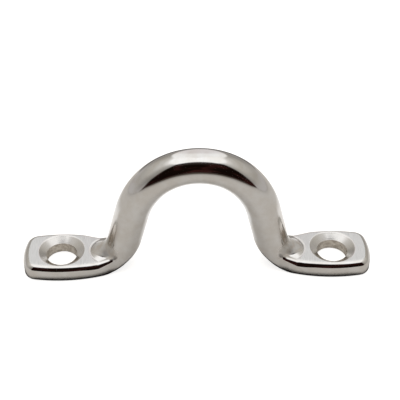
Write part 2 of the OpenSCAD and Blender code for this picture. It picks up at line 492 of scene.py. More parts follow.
print("the corner fan turns", round(math.degrees(corner_to - corner_from), 1), "degrees")

# %% [markdown]
# ## One skin over everything
#
# Now the rings are laid out along the right half, mirrored to the left, and joined
# into one closed skin. More rings go where the surface turns fast. Whatever reaches
# below the deck is planed off. A mirror modifier could add the left half, but we
# write it out, to check the closed skin for gaps before it is drilled.

# %% All rings of the strap
CROWN_RINGS = 40
SHOULDER_RINGS = 22
BEND_RINGS = 34
FLANK_RINGS = 12
GROOVE_RINGS = 6
EAR_RINGS = 40
CORNER_RINGS = 22


def shares(count):
    """Even steps that leave out 0 and end at 1."""
    return [step / count for step in range(1, count + 1)]


half = [crown_ring(0.0)]
half += [crown_ring(CROWN_SWEEP * share) for share in shares(CROWN_RINGS)]
half += [shoulder_ring(mix(CROWN_SWEEP, LEG_TURN, s)) for s in shares(SHOULDER_RINGS)]
half += [bend_ring(share) for share in [0.0] + shares(BEND_RINGS)]
half += [flank_ring(share) for share in shares(FLANK_RINGS)]
half += [groove_ring(share) for share in shares(GROOVE_RINGS)]
half += [ear_ring(share) for share in shares(EAR_RINGS)]
half += [corner_ring(share) for share in shares(CORNER_RINGS)]
half = np.array(half)
half[..., 2] = np.maximum(half[..., 2], 0)

print(len(half), "rings from the crown to the end of one ear")

# %% Both sides of each ring, then both halves of the strap
far_side = half[:, line_count - 2 : 0 : -1] * [1, -1, 1]
right = np.concatenate([half, far_side], axis=1)
left = right[:0:-1] * [-1, 1, 1]
rings = np.concatenate([left, right])
ring_size = rings.shape[1]

print(rings.shape[0], "rings of", ring_size, "points")


# %% Faces of the skin, with a wall at each end
def ring_point(ring, place):
    """Number of the point at a place on a ring. Places run on past a full turn."""
    return ring * ring_size + place % ring_size


def belt(ring):
    """Faces between one ring and the next."""
    return [
        [
            ring_point(ring, place),
            ring_point(ring, place + 1),
            ring_point(ring + 1, place + 1),
            ring_point(ring + 1, place),
        ]
        for place in range(ring_size)
    ]


def end_wall(ring):
    """Upright faces that close the skin at a ring, from its top to its bottom."""
    return [
        [
            ring_point(ring, place),
            ring_point(ring, place + 1),
            ring_point(ring, line_count - 2 - place),
            ring_point(ring, line_count - 1 - place),
        ]
        for place in range(-side_line, side_line)
    ]


last_ring = len(rings) - 1
faces = [face for ring in range(last_ring) for face in belt(ring)]
faces += [face[::-1] for face in end_wall(0)] + end_wall(last_ring)
print(len(faces), "faces between the rings and on the ends")

# %% The blank, before it is drilled
MERGE_MM = 0.0001


def add_object(name, data):
    """Puts a mesh, a lamp or a camera into the scene."""
    made = bpy.data.objects.new(name, data)
    bpy.context.collection.objects.link(made)
    return made


blank = bpy.data.meshes.new("eye_strap")
blank.from_pydata((rings.reshape(-1, 3) * MM).tolist(), [], faces)
strap = add_object("forged_eye_strap", blank)

cleaner = bmesh.new()
cleaner.from_mesh(blank)
bmesh.ops.remove_doubles(cleaner, verts=cleaner.verts, dist=MERGE_MM * MM)
bmesh.ops.recalc_face_normals(cleaner, faces=cleaner.faces)
open_edges = [edge for edge in cleaner.edges if not edge.is_manifold]
print(len(cleaner.faces), "faces, open edges:", len(open_edges))
print(f"blank volume {cleaner.calc_volume() / MM**3:.0f} cubic mm")
cleaner.to_mesh(blank)
cleaner.free()

# %% [markdown]
# ## Drilling and countersinking
#
# A drill and a countersink are both turning tools, so each hole is made with a
# cutter that we spin from its outline and subtract. Where the cone meets the top of
# the ear, polishing leaves a small soft lip. We put that lip into the cutter's
# outline as a tiny arc that just touches the top face. The cone itself leans out a
# few degrees more than the 50 of the screw's head, because polishing opens it too.
#
# The lines of the skin could run round the hole instead, but every bend in them
# could show on the flat of the ear. A cutter leaves the metal round the hole alone.

# %% Outline of the cutter
SINK_R = 4.05
SINK_LEAN = math.radians(54)
LIP_R = 0.5
LIP_END = math.radians(3)
LIP_POINTS = 7
DEBURR = 0.12
OVER = 1.0

sink_depth = (SINK_R - HOLE_R) / math.tan(SINK_LEAN)
lip_start = math.pi / 2 - SINK_LEAN
lip_c = np.array([SINK_R + LIP_R * math.tan(lip_start / 2), EAR_T - LIP_R])
lip = [
    lip_c + LIP_R * np.array([-math.sin(angle), math.cos(angle)])
    for angle in np.linspace(lip_start, LIP_END, LIP_POINTS)
]
outline = [
    (0, -OVER),
    (HOLE_R + DEBURR + OVER, -OVER),
    (HOLE_R, DEBURR),
    (HOLE_R, EAR_T - sink_depth),
    *lip,
    (lip_c[0], EAR_T + OVER),
    (0, EAR_T + OVER),
]
print(f"countersink {sink_depth:.2f} mm deep, lip ends at radius {lip_c[0]:.2f} mm")


# %% Spin the cutter
CUTTER_STEPS = 144


def spun_cutter(name, x):
    """A solid of revolution about the upright axis of a screw hole."""
    shape = bmesh.new()
    points = [shape.verts.new((r * MM, 0, z * MM)) for r, z in outline]
    edges = [shape.edges.new(pair) for pair in zip(points, points[1:])]
    bmesh.ops.spin(
        shape,
        geom=points + edges,
        cent=(0, 0, 0),
        axis=(0, 0, 1),
        angle=2 * math.pi,
        steps=CUTTER_STEPS,
    )
    bmesh.ops.remove_doubles(shape, verts=shape.verts, dist=MERGE_MM * MM)
    bmesh.ops.recalc_face_normals(shape, faces=shape.faces)
    bmesh.ops.translate(shape, verts=shape.verts, vec=(x * MM, 0, 0))
    mesh = bpy.data.meshes.new(name)
    shape.to_mesh(mesh)
    shape.free()
    return add_object(name, mesh)


print("a cutter is spun in", CUTTER_STEPS, "steps")


# %% Drill both holes
def drill(x):
    """Cuts one screw hole, with its countersink, at x."""
    cutter = spun_cutter("cutter", x)
    cut = strap.modifiers.new("drill", "BOOLEAN")
    cut.operation = "DIFFERENCE"
    cut.solver = "EXACT"
    cut.object = cutter
    with bpy.context.temp_override(object=strap):
        bpy.ops.object.modifier_apply(modifier=cut.name)
    bpy.data.objects.remove(cutter)


for x in (-HOLE_X, HOLE_X):
    drill(x)
print("drilled strap has", len(strap.data.polygons), "faces")

# %% [markdown]
# ## Which tool touched which face
#
# The strap is one piece of metal, but three tools leave three kinds of surface: the
# polishing wheel, the countersink and the drill. One material could hold all three,
# but they meet at clear edges, so it is simpler to give each its own. We tell the
# faces apart by where they lie.

# %% Sort the faces by tool
POLISHED, TURNED, DRILLED = range(3)
INSIDE_CUT = 0.004


def tool_of(centre):
    """Which tool made the face with this centre, in mm."""
    radius = math.hypot(abs(centre.x) - HOLE_X, centre.y)
    if radius > lip_c[0] or centre.z > EAR_T - INSIDE_CUT:
        return POLISHED
    if centre.z > EAR_T - sink_depth:
        return TURNED
    return DRILLED if centre.z > INSIDE_CUT and radius < HOLE_R + DEBURR else POLISHED


counts = [0, 0, 0]
for face in strap.data.polygons:
    face.material_index = tool_of(face.center / MM)
    counts[face.material_index] += 1
print("faces that are polished, turned and drilled:", counts)

# %% [markdown]
# ## Soft shading over the fine mesh
#
# A mirror finish shows every flat face. More and smaller faces would hide them, but
# shading does it for nothing: the faces are shaded smooth, except across the few
# real edges, such as the rim between cone and bore. Thin faces beside a cut would
# otherwise pull the shading askew, so the large faces decide which way a point
# leans.

# %% Smooth faces and real edges
SHARP_ANGLE = math.radians(28)
LARGE_FACES_FIRST = 100

strap.data.shade_smooth()
marker = bmesh.new()
marker.from_mesh(strap.data)
for edge in marker.edges:
    if edge.is_manifold and edge.calc_face_angle() > SHARP_ANGLE:
        edge.smooth = False
print("real edges:", sum(not edge.smooth for edge in marker.edges))
marker.to_mesh(strap.data)
marker.free()

weigh = strap.modifiers.new("large_faces_decide", "WEIGHTED_NORMAL")
weigh.keep_sharp = True
weigh.weight = LARGE_FACES_FIRST

# %% [markdown]
# ## Small helpers for materials
#
# Painted images could be wrapped round the bar, but they blur close up and stretch
# at the bends. Here a finish is a recipe of small steps, and each step is a node.
# These helpers let us write a recipe as short sentences. All patterns are measured
# in millimetres on the metal, so a line can be as fine as it is on the real strap.

# %% Adding a node
def put(tree, kind, sockets, **options):
    """Adds a node, sets its options, and fills its sockets with numbers or links."""
    made = tree.nodes.new(kind)
    for name, value in options.items():
        setattr(made, name, value)
    for name, value in sockets.items():
        if isinstance(value, bpy.types.NodeSocket):
            tree.links.new(value, made.inputs[name])
        else:
            made.inputs[name].default_value = value
    return made


print("put() adds one node")


# %% Arithmetic, fades and tints
def calc(tree, operation, a, b=0.0):
    """One step of arithmetic."""
    return put(tree, "ShaderNodeMath", {0: a, 1: b}, operation=operation).outputs[0]


def fade(tree, value, start, end, low=0.0, high=1.0):
    """Goes softly from low to high while the value goes from start to end."""
    sockets = {"Value": value, "From Min": start, "From Max": end}
    sockets.update({"To Min": low, "To Max": high})
    made = put(tree, "ShaderNodeMapRange", sockets, interpolation_type="SMOOTHSTEP")
    return made.outputs["Result"]


def tint(tree, share, a, b):
    """Mixes two colours, which are sockets 6 and 7 of a Mix node."""
    sockets = {"Factor": share, 6: a, 7: b}
    return put(tree, "ShaderNodeMix", sockets, data_type="RGBA").outputs[2]


def colour(red, green, blue):
    """An opaque colour."""
    return (red, green, blue, 1.0)


print("white is", colour(1, 1, 1))


# %% Measuring on the metal
def own_place(tree):
    """The place on the object itself, in metres."""
    return put(tree, "ShaderNodeTexCoord", {}).outputs["Object"]


def axes_of(tree, place):
    """The numbers of a place or a direction, by their names X, Y and Z."""
    return put(tree, "ShaderNodeSeparateXYZ", {0: place}).outputs


def stretched(tree, place, scale):
    """The same place with each axis scaled, which can draw a pattern out."""
    made = put(tree, "ShaderNodeVectorMath", {0: place, 1: scale}, operation="MULTIPLY")
    return made.outputs[0]


def metal_mm(tree):
    """The place on the strap, in mm."""
    return stretched(tree, own_place(tree), 3 * (1 / MM,))


print("one metre is", round(1 / MM), "mm")


# %% Patterns, bumps and bare metal
def grain(tree, place, scale, detail=2.0, roughness=0.5):
    """Noise from 0 to 1."""
    sockets = {"Vector": place, "Scale": scale, "Detail": detail, "Roughness": roughness}
    return put(tree, "ShaderNodeTexNoise", sockets).outputs["Fac"]


def bumped(tree, height, distance_mm, below=None):
    """Turns a height from 0 to 1 into a bump of that many mm."""
    sockets = {"Height": height, "Distance": distance_mm * MM, "Strength": 1.0}
    if below is not None:
        sockets["Normal"] = below
    return put(tree, "ShaderNodeBump", sockets).outputs["Normal"]


def new_steel(name):
    """A metal material with its tree and its shader."""
    material = bpy.data.materials.new(name)
    material.use_nodes = True
    shader = material.node_tree.nodes["Principled BSDF"]
    shader.inputs["Metallic"].default_value = 1.0
    return material, material.node_tree, shader


print("one noise cell of scale 1 is one millimetre wide")

# %% [markdown]
# ## Polished bar and satin ears
#
# The wheel brings the bar to a near mirror, but never a perfect one: it leaves slow
# waves, hair-fine lines along the bar and a faint haze. The tops of the ears are
# only finished on a belt, which leaves them satin, with fine straight lines across.
# Neither tool gets onto the ridge of the root or into its crease, so these stay
# dull; their tint is darker as well, partly painted shade in the crease. Just above,
# on the outside of each leg, a darker brown-grey patch is a painted reflection.
#
# One material holds all of it, because on the real strap they run into each other.
# Each finish has a mask, which is 1 where the finish is and fades to 0 round it.
# It could be painted on the points of the skin, but would then be no finer than the
# skin is. So a mask is a product of a few fades along the strap, across it and up.
# Each pair of numbers says where a fade starts and where it is complete, in mm.

# %% Measuring for the masks
def product(tree, first, *others):
    """Multiplies any number of values."""
    for other in others:
        first = calc(tree, "MULTIPLY", first, other)
    return first


def side_and_height(tree, place):
    """Distance from the middle of the strap along and across it, and the height."""
    axes = axes_of(tree, place)
    along = calc(tree, "ABSOLUTE", axes["X"])
    across = calc(tree, "ABSOLUTE", axes["Y"])
    return along, across, axes["Z"]


print(f"the root's rim is at x = {rim_x:.1f} mm, the ear's top at z = {EAR_T} mm")

# %% Mask for the top of the ears
SATIN_LEVEL = (0.955, 0.995)
SATIN_UP_FROM = (EAR_T - 0.6, EAR_T - 0.3)
SATIN_UP_TO = (EAR_T + 0.3, EAR_T + 0.1)
SATIN_OUT_FROM = (rim_x - 2.3, rim_x - 0.9)


def ear_top_mask(tree, place):
    """1 on the level top of the ears, 0 elsewhere."""
    along, _, height = side_and_height(tree, place)
    facing = put(tree, "ShaderNodeNewGeometry", {}).outputs["Normal"]
    level = axes_of(tree, facing)["Z"]
    flat = fade(tree, level, *SATIN_LEVEL)
    near_top = fade(tree, height, *SATIN_UP_FROM)
    below_root = fade(tree, height, *SATIN_UP_TO)
    past_root = fade(tree, along, *SATIN_OUT_FROM)
    return product(tree, flat, near_top, below_root, past_root)


print(f"satin is complete from x = {SATIN_OUT_FROM[1]:.1f} mm outwards")

# %% Mask for the root
ROOT_OUT_FROM = (rim_x - 6.2, rim_x - 4.3)
ROOT_OUT_TO = (rim_x + 0.2, rim_x - 1.4)
ROOT_UP_TO = (EAR_T + 3.0, EAR_T + 1.6)
RIDGE_X = rim_x - 1.9
RIDGE_SIDE = (1.7, 1.1)
RIDGE_SLOPE = 1.2
FLANK_SLOPE = 0.55


# The root is dull metal, and its darker tint is partly painted shade in the crease.
def root_dull_and_shade_mask(tree, place):
    """1 on the root's ridge and in its crease, 0 on its flanks and on the ear."""
    along, across, height = side_and_height(tree, place)
    off_leg = fade(tree, along, *ROOT_OUT_FROM)
    off_ear = fade(tree, along, *ROOT_OUT_TO)
    low = fade(tree, height, *ROOT_UP_TO)

    up = product(tree, calc(tree, "SUBTRACT", height, EAR_T), RIDGE_SLOPE)
    out = product(tree, calc(tree, "SUBTRACT", along, RIDGE_X), FLANK_SLOPE)
    side = calc(tree, "ADD", across, calc(tree, "SUBTRACT", out, up))
    on_ridge = fade(tree, side, *RIDGE_SIDE)
    return product(tree, off_leg, off_ear, low, on_ridge)


print(f"the root is dull from x = {ROOT_OUT_FROM[0]:.1f} to {ROOT_OUT_TO[0]:.1f} mm")

# %% Mask for the painted reflection on the legs
REFLECTION_BEHIND_FACE = (1.75, 0.65)
REFLECTION_BESIDE = (0.1, 1.3)
REFLECTION_UP_FROM = (EAR_T + 1.2, EAR_T + 3.2)
REFLECTION_UP_TO = (EAR_T + 10.2, EAR_T + 4.5)
REFLECTION_STREAKS = (2.2, 2.2, 0.35)
REFLECTION_PATCHES = (0.25, 0.6)
REFLECTION_THIN = 0.55


# A painted reflection: the outer legs just above the root turn a darker brown-grey.
def leg_painted_reflection_mask(tree, place):
    """1 on the outer quarters of each leg, just above the root."""
    along, across, height = side_and_height(tree, place)
    leg_face = calc(tree, "ADD", product(tree, height, lean), foot_line_x[0])
    behind_face = calc(tree, "SUBTRACT", leg_face, along)
    streaks = grain(tree, stretched(tree, place, REFLECTION_STREAKS), 1.0, detail=3.0)
    outside = fade(tree, behind_face, *REFLECTION_BEHIND_FACE)
    beside = fade(tree, across, *REFLECTION_BESIDE)
    above_root = fade(tree, height, *REFLECTION_UP_FROM)
    below_arch = fade(tree, height, *REFLECTION_UP_TO)
    patchy = fade(tree, streaks, *REFLECTION_PATCHES, REFLECTION_THIN, 1.0)
    return product(tree, outside, beside, above_root, below_arch, patchy)


print(f"painted reflection runs from z = {REFLECTION_UP_FROM[0]:.1f} to {REFLECTION_UP_TO[0]:.1f} mm")

# %% Colours and patterns of the steel
STEEL_LIGHT = colour(0.83, 0.825, 0.815)
STEEL_WARM = colour(0.76, 0.735, 0.70)
# The root's tint below is dull metal, darkened partly as painted shade in the crease.
STEEL_DULL_AND_SHADE = colour(0.74, 0.70, 0.65)
STEEL_PALE = colour(0.83, 0.82, 0.80)
# The next tint is a painted reflection: a dark brown-grey patch on the outer legs.
STEEL_PAINTED_REFLECTION = colour(0.56, 0.51, 0.46)
SATIN_LIGHT = colour(0.80, 0.81, 0.80)
SATIN_DARK = colour(0.67, 0.68, 0.67)

MIRROR_ROUGH = (0.05, 0.11)
BRUSHED_ROUGH = (0.27, 0.36)
ROOT_DULL = 0.46
REFLECTION_PATCH_DULL = 0.10

WAVES_PER_MM = 0.22
HAZE_PER_MM = 0.5
FORGED_PER_MM = 0.9
LINES_PER_MM = (1.4, 9.0, 1.4)
STROKES_PER_MM = (11.0, 0.5, 11.0)

# Noise rarely strays far from 0.5, so each pattern uses only the middle of it.
HAZE_DULLS = (0.3, 0.75)
HAZE_PALES = (0.3, 0.7)
STROKES_DULL = (0.2, 0.8)
STROKES_PALE = (0.25, 0.75)
FORGED_PALES = (0.35, 0.65)

WAVE_MM = 0.05
LINE_MM = 0.0012
STROKE_MM = 0.006
FORGED_MM = 0.10

print(f"one slow wave is about {1 / WAVES_PER_MM:.0f} mm long")


# %% Polished and satin steel
def polished_steel():
    """Polished bar and satin ears, a dull root with painted shade, painted reflection above.
    """
    material, tree, shader = new_steel("polished_steel")
    place = metal_mm(tree)
    satin = ear_top_mask(tree, place)
    root = root_dull_and_shade_mask(tree, place)
    painted_reflection_patch = leg_painted_reflection_mask(tree, place)

    waves = grain(tree, place, WAVES_PER_MM, detail=1.0)
    lines = grain(tree, stretched(tree, place, LINES_PER_MM), 1.0, detail=3.0)
    strokes = grain(tree, stretched(tree, place, STROKES_PER_MM), 1.0, detail=3.0)
    haze = grain(tree, place, HAZE_PER_MM, detail=4.0, roughness=0.6)
    forged = grain(tree, place, FORGED_PER_MM)

    mirror = fade(tree, haze, *HAZE_DULLS, *MIRROR_ROUGH)
    brushed = fade(tree, strokes, *STROKES_DULL, *BRUSHED_ROUGH)
    # Sockets 2 and 3 of a Mix node are its two numbers.
    rough = put(tree, "ShaderNodeMix", {0: satin, 2: mirror, 3: brushed}).outputs[0]
    rough = calc(tree, "ADD", rough, product(tree, root, ROOT_DULL))
    rough = calc(tree, "ADD", rough, product(tree, painted_reflection_patch, REFLECTION_PATCH_DULL))
    tree.links.new(rough, shader.inputs["Roughness"])

    tone = tint(tree, fade(tree, haze, *HAZE_PALES), STEEL_WARM, STEEL_LIGHT)
    brushing = tint(tree, fade(tree, strokes, *STROKES_PALE), SATIN_DARK, SATIN_LIGHT)
    tone = tint(tree, satin, tone, brushing)
    # On the root the tone turns darker: dull metal, partly painted shade in the crease.
    dull = tint(tree, fade(tree, forged, *FORGED_PALES), STEEL_DULL_AND_SHADE, STEEL_PALE)
    tone = tint(tree, root, tone, dull)
    # Painted reflection: a dark brown-grey patch on the outer legs above the root.
    tree.links.new(tint(tree, painted_reflection_patch, tone, STEEL_PAINTED_REFLECTION), shader.inputs["Base Color"])

    bump = bumped(tree, waves, WAVE_MM)
    bump = bumped(tree, lines, LINE_MM, bump)
    bump = bumped(tree, product(tree, strokes, satin), STROKE_MM, bump)
    bump = bumped(tree, product(tree, forged, root), FORGED_MM, bump)
    tree.links.new(bump, shader.inputs["Normal"])
    return material


strap.data.materials.append(polished_steel())
print("first finish:", strap.data.materials[POLISHED].name)

# %% [markdown]
# ## Turned countersink and drilled bore
#
# A countersink leaves very fine rings round the axis of the hole. A drill leaves a
# coarser thread of rings down the wall. Both are duller than the polished bar.
#
# Real grooves would take far more faces than all the rest, so the rings are a bump.
# On the cone it follows the distance to the hole's own axis, in the bore the height.

# %% Rings round a hole
RINGS_PER_MM = 9.0
RING_MM = 0.004
TURNED_HAZE_PER_MM = 0.8
TURNED_HAZE_DULLS = (0.3, 0.7)
TURNED_ROUGH = (0.13, 0.20)


def from_axis(tree, place):
    """Distance from the axis of the nearest screw hole, in mm."""
    axes = axes_of(tree, place)
    along = calc(tree, "SUBTRACT", calc(tree, "ABSOLUTE", axes["X"]), HOLE_X)
    squares = [product(tree, side, side) for side in (along, axes["Y"])]
    return calc(tree, "SQRT", calc(tree, "ADD", *squares))


def ring_noise(tree, value, scale):
    """Uneven rings: noise along a single value."""
    sockets = {"W": value, "Scale": scale, "Detail": 2.0}
    return put(tree, "ShaderNodeTexNoise", sockets, noise_dimensions="1D").outputs["Fac"]


def turned_steel():
    """The cone of a countersink, with fine rings round its axis."""
    material, tree, shader = new_steel("turned_steel")
    place = metal_mm(tree)
    rings_round = ring_noise(tree, from_axis(tree, place), RINGS_PER_MM)
    haze = grain(tree, place, TURNED_HAZE_PER_MM, detail=3.0)
    rough = fade(tree, haze, *TURNED_HAZE_DULLS, *TURNED_ROUGH)
    tone = tint(tree, rings_round, STEEL_WARM, STEEL_LIGHT)
    tree.links.new(rough, shader.inputs["Roughness"])
    tree.links.new(tone, shader.inputs["Base Color"])
    tree.links.new(bumped(tree, rings_round, RING_MM), shader.inputs["Normal"])
    return material


strap.data.materials.append(turned_steel())
print(f"rings of the countersink are about {1 / RINGS_PER_MM:.1f} mm apart")

# %% Thread down a bore
THREAD_PER_MM = 7.0
THREAD_MM = 0.012
STAIN_PER_MM = 1.1
STAIN_PALES = (0.36, 0.64)
STAIN_DULLS = (0.3, 0.7)
DRILLED_ROUGH = (0.30, 0.42)
BORE_DARK = colour(0.46, 0.41, 0.35)
BORE_LIGHT = colour(0.78, 0.73, 0.65)


def drilled_steel():
    """The wall of a bore, threaded by the drill and stained."""
    material, tree, shader = new_steel("drilled_steel")
    place = metal_mm(tree)
    thread = ring_noise(tree, axes_of(tree, place)["Z"], THREAD_PER_MM)
    stain = grain(tree, place, STAIN_PER_MM, detail=4.0, roughness=0.65)
    tone = tint(tree, fade(tree, stain, *STAIN_PALES), BORE_DARK, BORE_LIGHT)
    rough = fade(tree, stain, *STAIN_DULLS, *DRILLED_ROUGH)
    tree.links.new(tone, shader.inputs["Base Color"])
    tree.links.new(rough, shader.inputs["Roughness"])
    tree.links.new(bumped(tree, thread, THREAD_MM), shader.inputs["Normal"])
    return material


strap.data.materials.append(drilled_steel())
print("finishes:", [material.name for material in strap.data.materials])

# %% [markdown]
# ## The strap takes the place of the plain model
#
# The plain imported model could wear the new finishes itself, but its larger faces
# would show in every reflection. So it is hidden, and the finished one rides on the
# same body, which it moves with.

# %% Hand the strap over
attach(strap, "root")
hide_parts("eye_strap")
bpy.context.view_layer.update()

# %% [markdown]
# ## A floor of pale paper
#
# Polished metal has no colour of its own to speak of: it shows what stands round
# it. So the surroundings matter as much as the finish. The strap lies on pale
# paper. To the camera the paper is almost white and only keeps a little shadow. If
# it did nothing but glow, it would keep none, and the strap would seem to float.
#
# The metal sees the sheet itself: light behind the strap, where the roof of the
# tent shines on it, and dim far away and towards the doorway. Close beside the
# strap hardly any light gets in, which draws the dark line along its lower edge.

# %% Shade close beside the strap
CONTACT_MM = 4.0
CONTACT_SAMPLES = 24
CONTACT_SKY = (0.63, 0.77)
HOLE_EDGE = (HOLE_R + 0.4, HOLE_R - 0.4)


def contact_free(tree, place):
    """0 close beside the strap, where little sky is in reach, 1 elsewhere."""
    sockets = {"Distance": CONTACT_MM * MM}
    kind = "ShaderNodeAmbientOcclusion"
    open_sky = put(tree, kind, sockets, samples=CONTACT_SAMPLES).outputs["AO"]
    in_hole = fade(tree, from_axis(tree, place), *HOLE_EDGE)
    return calc(tree, "MAXIMUM", fade(tree, open_sky, *CONTACT_SKY), in_hole)


print(f"little light gets in within {CONTACT_MM} mm of the strap")

# %% The paper that the metal sees
PAPER_NEAR = colour(0.50, 0.475, 0.445)
PAPER_LIT = colour(0.93, 0.92, 0.91)
PAPER_FAR = colour(0.15, 0.145, 0.145)
PAPER_DOORWAY = colour(0.07, 0.055, 0.045)
PAPER_CONTACT = colour(0.01, 0.008, 0.008)

LIT_BEHIND = (-2.0, 6.0)
LIT_NEARBY = (60.0, 20.0)
FAR_BEHIND = (24.0, 56.0)
TO_DOORWAY = (32.0, 135.0)
DOORWAY_TAPER = 0.6


def paper_for_metal(tree, place):
    """What the metal sees: lit close behind, dim far off and near the doorway."""
    axes = axes_of(tree, place)
    away = put(tree, "ShaderNodeVectorMath", {0: place}, operation="LENGTH").outputs["Value"]
    aside = calc(tree, "ABSOLUTE", axes["X"])
    ahead = product(tree, axes["Y"], -1.0)
    forward = calc(tree, "SUBTRACT", ahead, product(tree, aside, DOORWAY_TAPER))
    backward = calc(tree, "SUBTRACT", axes["Y"], aside)
    lit = product(tree, fade(tree, axes["Y"], *LIT_BEHIND), fade(tree, away, *LIT_NEARBY))
    sheet = tint(tree, lit, PAPER_NEAR, PAPER_LIT)
    sheet = tint(tree, fade(tree, backward, *FAR_BEHIND), sheet, PAPER_FAR)
    sheet = tint(tree, fade(tree, forward, *TO_DOORWAY), sheet, PAPER_DOORWAY)
    return tint(tree, contact_free(tree, place), PAPER_CONTACT, sheet)


print(f"the sheet is lit up to {LIT_NEARBY[0]:.0f} mm from the middle of the strap")

# %% Paper floor
PAPER_GLOW = 0.76
FLOOR_SIZE = 3.0


def paper():
    """Paper that glows to the camera, and has its own look to the metal."""
    material = bpy.data.materials.new("paper")
    material.use_nodes = True
    tree = material.node_tree
    tree.nodes.clear()
    path = put(tree, "ShaderNodeLightPath", {}).outputs
    for_metal = paper_for_metal(tree, metal_mm(tree))
    sheet_colour = tint(tree, path["Is Glossy Ray"], PAPER_NEAR, for_metal)
    sheet = put(tree, "ShaderNodeBsdfDiffuse", {"Color": sheet_colour}).outputs[0]
    clear = calc(tree, "MAXIMUM", path["Is Camera Ray"], path["Is Transmission Ray"])
    glow_sockets = {"Color": colour(1, 1, 1), "Strength": product(tree, clear, PAPER_GLOW)}
    glow = put(tree, "ShaderNodeEmission", glow_sockets).outputs[0]
    both = put(tree, "ShaderNodeAddShader", {0: sheet, 1: glow}).outputs[0]
    put(tree, "ShaderNodeOutputMaterial", {"Surface": both})
    return material


def floor_plane():
    """The sheet of paper that the strap lies on."""
    mesh = bpy.data.meshes.new("floor")
    side = FLOOR_SIZE / 2
    corners = [(-side, -side, 0), (side, -side, 0), (side, side, 0), (-side, side, 0)]
    mesh.from_pydata(corners, [], [(0, 1, 2, 3)])
    mesh.materials.append(paper())
    plane = add_object("floor", mesh)
    return plane


floor = floor_plane()
print(floor.name, "is", FLOOR_SIZE, "m wide")

# %% [markdown]
# ## A light tent for the metal
#
# Chrome and polished steel look their best in a tent: a white roof, grey cloth at
# the sides, and a dark doorway in front that the camera looks through. The
# doorway gives the dark, sharp bands that make metal read as metal. Lamps alone
# would leave small bright spots on it and black between them. Our tent is a dome
# that only the metal can see: the camera and the floor look straight through it.
#
# It is painted by direction. The turn says how far round a spot lies: 0 straight
# ahead, 90 at the right, 180 at the back. The climb says how high it is: 0 at the
# horizon, 90 overhead. The white roof comes down in a long tongue at the back.

# %% Directions inside the tent
TENT_R = 0.5
OVERHEAD = 90.0


def tent_directions(tree):
    """Turn, climb, and the pitch over a flat wall in front, all in degrees."""
    sockets = {0: own_place(tree)}
    unit = put(tree, "ShaderNodeVectorMath", sockets, operation="NORMALIZE").outputs[0]
    axes = axes_of(tree, unit)
    ahead = product(tree, axes["Y"], -1.0)
    turn = calc(tree, "ARCTAN2", axes["X"], ahead)
    climb = calc(tree, "ARCSINE", axes["Z"])
    pitch = calc(tree, "ARCTAN2", axes["Z"], ahead)
    return [product(tree, angle, math.degrees(1)) for angle in (turn, climb, pitch)]


def climb_ramp(tree, climb, stops):
    """A smooth run of colours. Each stop is a climb and its colour, lowest first."""
    share = calc(tree, "DIVIDE", climb, OVERHEAD)
    made = put(tree, "ShaderNodeValToRGB", {"Fac": share})
    made.color_ramp.interpolation = "EASE"
    elements = made.color_ramp.elements
    for at, _ in stops[1:-1]:
        elements.new(at / OVERHEAD)
    for element, (at, shade) in zip(elements, stops):
        element.position = at / OVERHEAD
        element.color = shade
    return made.outputs["Color"]


print("tent radius", TENT_R, "m")

# %% Cloth of the sides
SIDE_STOPS = (
    (0, colour(0.48, 0.455, 0.44)),
    (16, colour(0.42, 0.40, 0.37)),
    (34, colour(0.51, 0.485, 0.445)),
    (46, colour(0.61, 0.59, 0.56)),
    (58, colour(0.90, 0.88, 0.865)),
)
SIDE_UNLIT = colour(0.02, 0.015, 0.012)
BY_DOOR = (84.0, 48.0, 0.0, 0.42)
AT_BACK = (128.0, 152.0, 0.0, 0.25)
OFF_FLOOR = (0.0, 12.0, 0.25, 1.0)


def side_cloth(tree, around, climb):
    """Warm grey cloth, lighter towards the roof, dimmer by the doorway and behind."""
    cloth = climb_ramp(tree, climb, SIDE_STOPS)
    by_door = product(tree, fade(tree, climb, *OFF_FLOOR), fade(tree, around, *BY_DOOR))
    unlit = calc(tree, "ADD", by_door, fade(tree, around, *AT_BACK))
    return tint(tree, unlit, cloth, SIDE_UNLIT)


print("side cloth has", len(SIDE_STOPS), "tones from the floor to the roof")

# %% Cloth of the roof
ROOF_WHITE = colour(1.13, 1.125, 1.12)
ROOF_BACK = colour(0.97, 0.96, 0.95)
ROOF_TONGUE = colour(0.78, 0.745, 0.745)
ROOF_EDGE = 57.0
ROOF_SOFT = 3.0
TO_BACK = (100.0, 165.0)
TONGUE_TURN = -3.0
TONGUE_DROP = 52.0
TONGUE_SIDE = (152.0, 170.0)
TONGUE_TOP = (66.0, 44.0)
DROP_SIDE = (120.0, 184.0)


def roof_cloth(tree, around, climb):
    """White in front, a little greyer at the back and on the tongue."""
    on_tongue = product(tree, fade(tree, around, *TONGUE_SIDE), fade(tree, climb, *TONGUE_TOP))
    roof = tint(tree, fade(tree, around, *TO_BACK), ROOF_WHITE, ROOF_BACK)
    return tint(tree, on_tongue, roof, ROOF_TONGUE)


def roof_mask(tree, around, climb):
    """1 on the roof and on its tongue at the back."""
    drop = fade(tree, around, *DROP_SIDE, 0.0, TONGUE_DROP)
    above = calc(tree, "ADD", calc(tree, "SUBTRACT", climb, ROOF_EDGE), drop)
    return fade(tree, above, -ROOF_SOFT, ROOF_SOFT)


print("roof starts at a climb of", ROOF_EDGE, "degrees, its tongue", TONGUE_DROP, "lower")

# %% Doorway and the room behind it
DOOR_TURN = 3.5
DOOR_HALF_TURN = 52.0
DOOR_TOP = 65.5
DOOR_SOFT = 3.0
ROOM_DARK = colour(0.006, 0.003, 0.002)
ROOM_BROWN = colour(0.035, 0.010, 0.009)
ROOM_TOP = colour(0.045, 0.036, 0.034)
ROOM_UP_TO = (46.0, 60.0)
ROOM_SHAPES = 7.0
ROOM_BROWN_IN = (0.46, 0.68)


